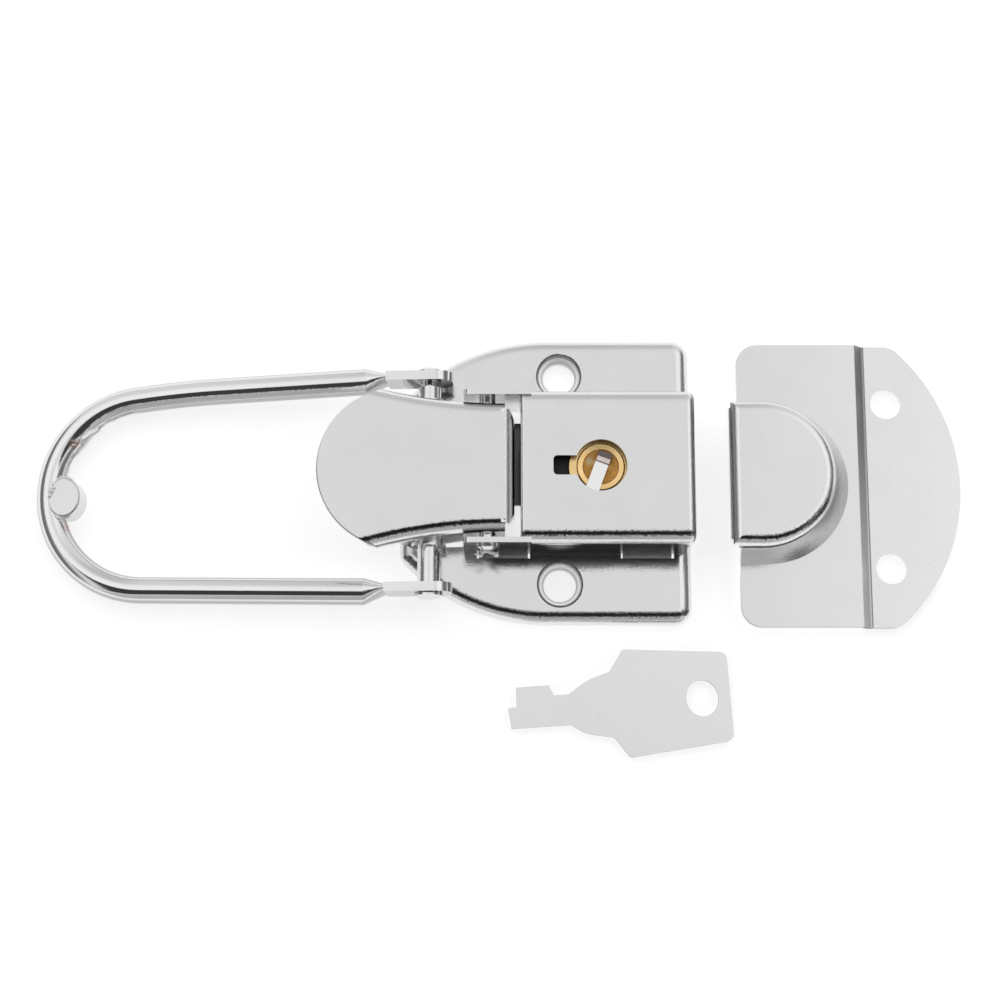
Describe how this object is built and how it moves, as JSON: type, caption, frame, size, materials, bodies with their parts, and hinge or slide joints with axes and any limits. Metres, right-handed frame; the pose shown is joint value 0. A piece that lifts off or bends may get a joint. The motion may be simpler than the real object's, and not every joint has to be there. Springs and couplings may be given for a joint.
{
  "type": "keyed toggle latch",
  "caption": "Keyed toggle latch: a folded lever draws a wire bail over a strike's lip, and a key-turned plug slides a bolt that holds the lever shut.",
  "frame": {"origin": "on the mounting plane, midway between the two screw holes of the base plate", "axes": "+X from the lever towards the strike, +Y across the latch towards its back, +Z away from the mounting plane"},
  "size_m": [0.1403, 0.0638, 0.013],
  "materials": {
    "plated_steel": "bright zinc plating, lightly orange-peeled",
    "plated_wire": "bright plated bent wire",
    "pin_steel": "bright plated rivet steel",
    "lock_steel": "plain punched steel",
    "lock_brass": "bright stamped brass",
    "key_steel": "satin nickel plating"
  },
  "bodies": {
    "latch_body": {"base_plate": "plated_steel", "lock_housing": "plated_steel", "hinge_pin": "pin_steel", "lock_plate": "lock_steel", "guide_rivet_left": "pin_steel", "guide_rivet_right": "pin_steel", "bolt_spring": "lock_steel", "spring_rivet": "pin_steel", "strike_plate": "plated_steel", "strike_cap": "plated_steel", "key": "key_steel"},
    "lever": {"lever": "plated_steel"},
    "axle": {"bail_axle": "pin_steel"},
    "bail": {"bail": "plated_wire", "bail_stud": "plated_wire"},
    "plug": {"lock_plug": "lock_brass", "key_bar": "pin_steel", "plug_clip": "lock_steel", "lock_cam": "lock_steel"},
    "bolt": {"lock_bolt": "lock_steel"}
  },
  "joints": [
    {"name": "lever_hinge", "type": "hinge", "parent": "latch_body", "child": "lever", "pos_m": [-0.0109, 0, 0.0092], "axis": [0, 1, 0], "range_deg": [0, 100]},
    {"name": "axle_turn", "type": "hinge", "parent": "lever", "child": "axle", "pos_m": [-0.0196, 0, 0.0064], "axis": [0, 1, 0], "range_deg": [-100, 0]},
    {"name": "bail_swing", "type": "hinge", "parent": "axle", "child": "bail", "pos_m": [-0.0196, 0, 0.0064], "axis": [0, 1, 0], "range_deg": [0, 172]},
    {"name": "plug_turn", "type": "hinge", "parent": "latch_body", "child": "plug", "pos_m": [0.0058, 0, 0], "axis": [0, 0, 1], "range_deg": [0, 90]},
    {"name": "bolt_slide", "type": "slide", "parent": "latch_body", "child": "bolt", "axis": [-1, 0, 0], "range_m": [0, 0.00255]}
  ],
  "couplings": [
    {"joint": "axle_turn", "follows": "lever_hinge", "ratio": -1},
    {"joint": "plug_turn", "follows": "bolt_slide", "rad_per_m": 617.05}
  ]
}
